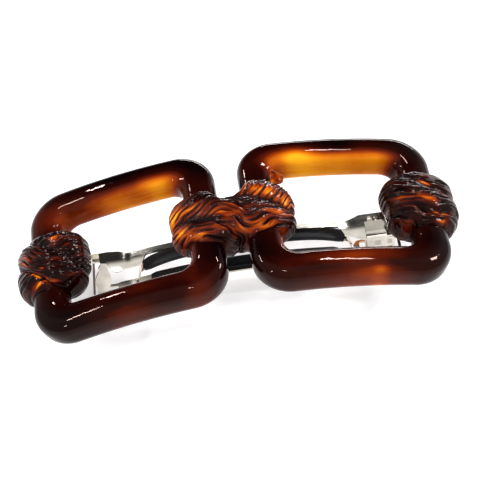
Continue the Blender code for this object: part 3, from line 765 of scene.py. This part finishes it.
def bar(name, path, halves, thickness, material, body, stands_for, power=4.0, middle=0.0):
    """A flat bar of rounded section along a path of (x, z), from end to end."""
    path, halves = np.array(path), np.array(halves)
    along = np.gradient(path, axis=0)
    along /= np.linalg.norm(along, axis=1, keepdims=True)
    normal = np.stack([-along[:, 1], along[:, 0]], -1)
    angle = np.linspace(0, 2 * math.pi, 40, endpoint=False)
    c, s = superellipse(angle, power)
    rows = []
    for k, (point, half) in enumerate(zip(path, halves)):
        y = half * c + middle
        offset = thickness / 2 * s
        rows.append(np.stack([point[0] + normal[k, 0] * offset, y, point[1] + normal[k, 1] * offset], -1))
    points, faces = closed_tube(np.array(rows))
    return piece(name, to_world(points), faces, material, body, stands_for)


def arm_height(x):
    return CREST + ARM_W - fall(x)


def bow_height(x):
    return CREST + BOW_W - BOW_DROP * (np.abs(x - BOW_X) / BOW_REACH) ** BOW_POWER


def build_plate_strip(metal):
    """The crowned strip, cut back to a rail over the bow, with the hinge head and the catch head."""
    hinge_front = [
        (-31.0, -0.5), (-30.2, -1.8), (-29.2, -2.7), (-28.0, -HEAD_HALF), (-26.2, -STRIP_HALF),
    ]
    rail = [(-22.6, -STRIP_HALF), (-21.4, RAIL_FRONT), (24.2, RAIL_FRONT), (25.4, -STRIP_HALF)]
    catch = [
        (26.2, -STRIP_HALF), (28.5, -CATCH_HALF + 0.4), (29.2, -CATCH_HALF), (CATCH_END, -CATCH_HALF),
        (CATCH_END, CATCH_HALF), (29.2, CATCH_HALF), (28.5, CATCH_HALF - 0.4), (26.2, STRIP_HALF),
    ]
    hinge_back = [
        (-26.2, STRIP_HALF), (-28.0, HEAD_HALF - 0.3), (-30.5, HEAD_HALF), (-32.5, HEAD_HALF - 0.1),
        (HEAD_END, LEG_REAR), (HEAD_END, 0.3), (-32.4, 0.3), (-32.4, -0.4),
    ]
    eyelet = oval(31.7, 1.3, 0.6, 1.15)

    def on_plate(x, y, c):
        crown = 0.34 * (np.minimum(y - RAIL_FRONT, 0) / STRIP_HALF) ** 2
        return np.stack([x, y, CREST + PLATE_W - fall(x) + rise(x) - crown + c], -1)

    loops = [softened(hinge_front + rail + catch + hinge_back, 0.6), eyelet]
    sheet("plate_strip", loops, on_plate, SHEET, 0.8, metal, "base", ["base_plate"])


def build_hinge_legs(metal, shaded_metal):
    """The hourglass ear under the hinge head, and the leg at the head's end."""
    top = CREST + PLATE_W - float(fall(CLIP_ARCH)) + HEAD_RISE
    middle = -31.7
    profile = [
        (top - 0.1, 0.50), (top - 0.9, 0.70), (top - 1.7, 1.15), (top - 3.0, 1.10), (top - 4.2, 1.55),
        (top - 5.8, 1.95), (top - 7.4, 1.90), (top - 9.0, 1.50), (0.0, 1.30),
    ]
    ear = [(middle + half, z) for z, half in profile] + [(middle - half, z) for z, half in profile[::-1]]

    def on_ear(x, z, c):
        return np.stack([x - (top - z) * LEAN, np.full_like(x, c - 0.05), z], -1)

    sheet("plate_ear", [softened(ear, 0.8)], on_ear, 0.6, 0.7, metal, "base", ["base_plate"])

    def on_leg(y, z, c):
        return np.stack([HEAD_END + SHEET / 2 + c - (top - z) * LEAN, y, z], -1)

    leg = softened(box_loop(0.6, 0.0, LEG_REAR, top), 0.3)
    # The leg is drawn in a darkened copy of the nickel: painted shade.
    sheet("plate_leg", [leg], on_leg, SHEET, 0.7, shaded_metal, "base", ["base_plate"])


def build_arm(metal):
    """The crowned arm with its latch loop, its tongue and knuckle, and the slots for the bow."""
    left, right, half = 29.0, 38.8, 4.2
    side_bar, end_bar = 0.6, 0.7
    outline = [
        (-29.6, -1.2), (-28.4, -STRIP_HALF), (27.2, -STRIP_HALF), (28.4, -half), (right, -half),
        (right, half), (28.4, half), (27.2, STRIP_HALF), (-28.4, STRIP_HALF), (-30.0, TONGUE_REAR),
        (-32.3, TONGUE_REAR), (-32.3, TONGUE_FRONT), (-29.6, TONGUE_FRONT),
    ]
    window = box_loop(left, -half + side_bar, right - end_bar, half - side_bar)
    places = [BOW_X + side * BOW_HOOK for side in (-1, 1)]
    slots = [softened(box_loop(x - 0.65, -1.0, x + 0.65, 1.0), 0.25) for x in places]

    def on_arm(x, y, c):
        crown = 0.10 * (y / STRIP_HALF) ** 2
        return np.stack([x, y, arm_height(x) - crown + c], -1)

    loops = [softened(outline, 0.6), softened(window, 0.5), *slots]
    sheet("arm_strip", loops, on_arm, SHEET, 0.8, metal, "arm", ["clasp_arm"])

    def on_lug(x, z, c):
        return np.stack([x, np.full_like(x, 1.03 + c), z], -1)

    ring = oval(PIN_X, CREST + PIN_W, 1.3, 1.3)
    sheet("arm_knuckle", [ring], on_lug, 0.7, 0.5, metal, "arm", ["clasp_arm"])


def build_rubber(skin):
    """The strip on the arm and the bow's sleeve, both with rounded edges and ends."""
    at = -np.cos(np.linspace(0.0, 1.0, 90) * math.pi)
    full = np.clip(1 - np.abs(at) ** 60, 0, 1) ** 0.5
    x = 1.2 + 22.5 * at
    path = np.stack([x, arm_height(x) + 0.75], -1)
    halves = 1.57 * np.maximum(full, 0.80)
    bar("grip_strip", path, halves, 0.85, skin, "arm", ["arm_grip"], middle=0.27)
    x = BOW_X + BOW_REACH * at
    path = np.stack([x, bow_height(x)], -1)
    halves = 1.80 * np.maximum(full, 0.85)
    bar("sleeve_tube", path, halves, 1.15, skin, "bow", ["bow_sleeve"], power=5.0)


def build_bow(metal):
    """The leaf spring, whose ends narrow and hook down into the arm."""
    level = CREST + ARM_W - float(fall(CLIP_ARCH))
    end = float(bow_height(BOW_X + BOW_REACH + 0.4))
    shape = [
        (BOW_HOOK, level - 0.8, 0.60), (BOW_HOOK, level + 0.8, 0.65), (BOW_HOOK - 0.7, level + 2.4, 0.85),
        (BOW_HOOK - 1.6, end - 1.1, 1.20), (BOW_REACH + 0.4, end, 1.50),
    ]
    run = np.linspace(0, len(shape) - 1, 24)
    reach, height, half = (curve_through(list(enumerate(values)))(run) for values in zip(*shape))
    inner = np.linspace(BOW_REACH, -BOW_REACH, 40)
    x = np.concatenate([reach, inner, -reach[::-1]]) + BOW_X
    z = np.concatenate([height, bow_height(BOW_X + inner), height[::-1]])
    halves = np.concatenate([half, np.full(40, 1.50), half[::-1]])
    bar("bow_leaf", np.stack([x, z], -1), halves, 0.35, metal, "bow", ["bow_spring"])


# ---------------------------------------------------------------- staging


def build_floor():
    """A pale floor that stays near white outside the object's soft shadow."""
    mesh = bpy.data.meshes.new("floor")
    size = 3.0
    corners = [(x, y, 0) for x, y in box_loop(-size, -size, size, size)]
    mesh.from_pydata(corners, [], [(0, 1, 2, 3)])
    floor = bpy.data.objects.new("floor", mesh)
    bpy.context.scene.collection.objects.link(floor)
    floor.location.z = -0.0002
    n = Nodes("pale_floor")
    speckle = n.noise(n.scaled((1, 1, 1)), 30.0, 2.0)
    whites = (0.0, (0.78, 0.78, 0.795)), (1.0, (0.80, 0.80, 0.81))
    n.link(n.ramp(speckle, whites), n.shader.inputs["Base Color"])
    n.set(roughness=0.6, emission_strength=0.43)
    n.shader.inputs["Emission Color"].default_value = (1.0, 1.0, 1.0, 1.0)
    n.shader.inputs["Specular IOR Level"].default_value = 0.1
    mesh.materials.append(n.material)


def build_world():
    """A studio: pale all round, with a dark flag high behind the object that polished tops reflect."""
    world = bpy.data.worlds.new("studio")
    bpy.context.scene.world = world
    world.use_nodes = True
    tree = world.node_tree
    background = tree.nodes["Background"]

    def node(kind, **settings):
        made = tree.nodes.new(kind)
        for key, value in settings.items():
            setattr(made, key, value)
        return made

    place = node("ShaderNodeTexCoord").outputs["Generated"]
    offset = node("ShaderNodeVectorMath", operation="DISTANCE")
    tree.links.new(place, offset.inputs[0])
    offset.inputs[1].default_value = (0.0, 0.81, 0.58)
    ramp = node("ShaderNodeValToRGB")
    tree.links.new(offset.outputs["Value"], ramp.inputs["Fac"])
    tree.links.new(ramp.outputs["Color"], background.inputs["Color"])
    elements = ramp.color_ramp.elements
    elements[0].position = 0.46
    elements[0].color = (0.02, 0.022, 0.022, 1)
    elements[1].position = 0.74
    elements[1].color = (1.0, 1.0, 1.0, 1)
    elements.new(0.60).color = (0.42, 0.40, 0.37, 1)
    background.inputs["Strength"].default_value = 0.85


def panel(name, direction, width, height, radiance):
    """A flat light a metre from the object and facing it. radiance is how bright it looks in a mirror."""
    target = Vector((0, 0, CREST * MM))
    place = target + Vector(direction).normalized()
    lamp = bpy.data.lights.new(name, "AREA")
    lamp.shape = "RECTANGLE"
    lamp.size = width
    lamp.size_y = height
    lamp.energy = math.pi * width * height * radiance
    made = bpy.data.objects.new(name, lamp)
    made.location = place
    made.rotation_euler = (target - place).to_track_quat("-Z", "Y").to_euler()
    bpy.context.scene.collection.objects.link(made)


def build_lights():
    panel("right_window", (0.74, 0.30, 0.58), 0.16, 0.13, 80.0)
    panel("rear_left_slit", (-0.40, 0.70, 0.60), 0.06, 0.035, 150.0)
    panel("left_spark", (-0.55, 0.35, 0.76), 0.26, 0.014, 280.0)
    panel("right_spark", (0.35, 0.55, 0.76), 0.20, 0.014, 280.0)
    panel("top_spark", (-0.12, -0.15, 1.0), 0.16, 0.012, 280.0)
    panel("rear_strip", (0.30, 0.95, 0.10), 0.70, 0.02, 80.0)
    panel("front_left_window", (-0.70, -0.40, 0.70), 0.04, 0.11, 130.0)


def build_camera():
    """The photograph's viewpoint: from in front and above, with a slight roll."""
    azimuth = math.radians(0.21)
    elevation = math.radians(48.86)
    roll = math.radians(-9.725)
    distance = 0.34017
    level = math.cos(elevation)
    back = Vector((math.sin(azimuth) * level, -math.cos(azimuth) * level, math.sin(elevation)))
    right = (-back).cross(Vector((0, 0, 1))).normalized()
    up = right.cross(-back)
    x_axis = math.cos(roll) * right + math.sin(roll) * up
    y_axis = -math.sin(roll) * right + math.cos(roll) * up
    camera = bpy.data.cameras.new("camera")
    camera.lens = 110.64
    camera.sensor_width = 36.0
    camera.shift_x = 0.0151
    camera.shift_y = -0.0375
    camera.clip_start = 0.01
    camera.clip_end = 20.0
    made = bpy.data.objects.new("camera", camera)
    bpy.context.scene.collection.objects.link(made)
    pose = Matrix((x_axis, y_axis, back)).transposed().to_4x4()
    pose.translation = Vector((0, 0, CREST * MM)) + distance * back
    made.matrix_world = pose
    bpy.context.scene.camera = made


def finish_cad_nodes():
    """Materials for the CAD nodes that stay on show."""
    flat = nickel("catch_nickel", tilt=0.22)
    wire = nickel("pin_nickel", roughness=0.14)
    glue = adhesive("glue")
    chosen = {
        "catch_saddle": flat, "front_catch_tab": flat, "rear_catch_tab": flat,
        "hinge_pin": wire, "catch_rivet": wire,
        "left_adhesive": glue, "centre_adhesive": glue, "right_adhesive": glue,
    }
    for node, material in chosen.items():
        mesh = frame["nodes"][node].data
        mesh.materials.clear()
        mesh.materials.append(material)


bpy.context.scene.view_settings.view_transform = "Standard"
RED_GLINT = (1.0, 0.62, 0.52)
WHITE_GLINT = (1.0, 0.76, 0.68)
link_resin = resin("link_tortoiseshell", (0.35, 1, 1), 160.0, 0.16, 0.14, RED_GLINT)
centre_resin = resin("centre_knot_tortoiseshell", (0.6, 1, 1), 300.0, 0.30, 0.15, WHITE_GLINT, 0.06)
end_resin = resin("end_knot_tortoiseshell", (0.6, 1, 1), 300.0, 0.15, 0.13, WHITE_GLINT, 0.06)
link(-1, "left_link", LEFT_LINK_GLOW, link_resin)
link(1, "right_link", RIGHT_LINK_GLOW, link_resin)
build_petal(centre_resin)
build_centre_knot(centre_resin)
build_left_knot(end_resin)
build_right_knot(end_resin)
metal = nickel("clip_nickel")
build_plate_strip(metal)
build_hinge_legs(metal, nickel("shaded_nickel", (0.16, 0.13, 0.11)))
build_arm(nickel("arm_nickel", tilt=0.18))
build_rubber(rubber("black_rubber"))
build_bow(nickel("bow_nickel", (0.62, 0.55, 0.47)))
finish_cad_nodes()
build_floor()
build_world()
build_lights()
build_camera()
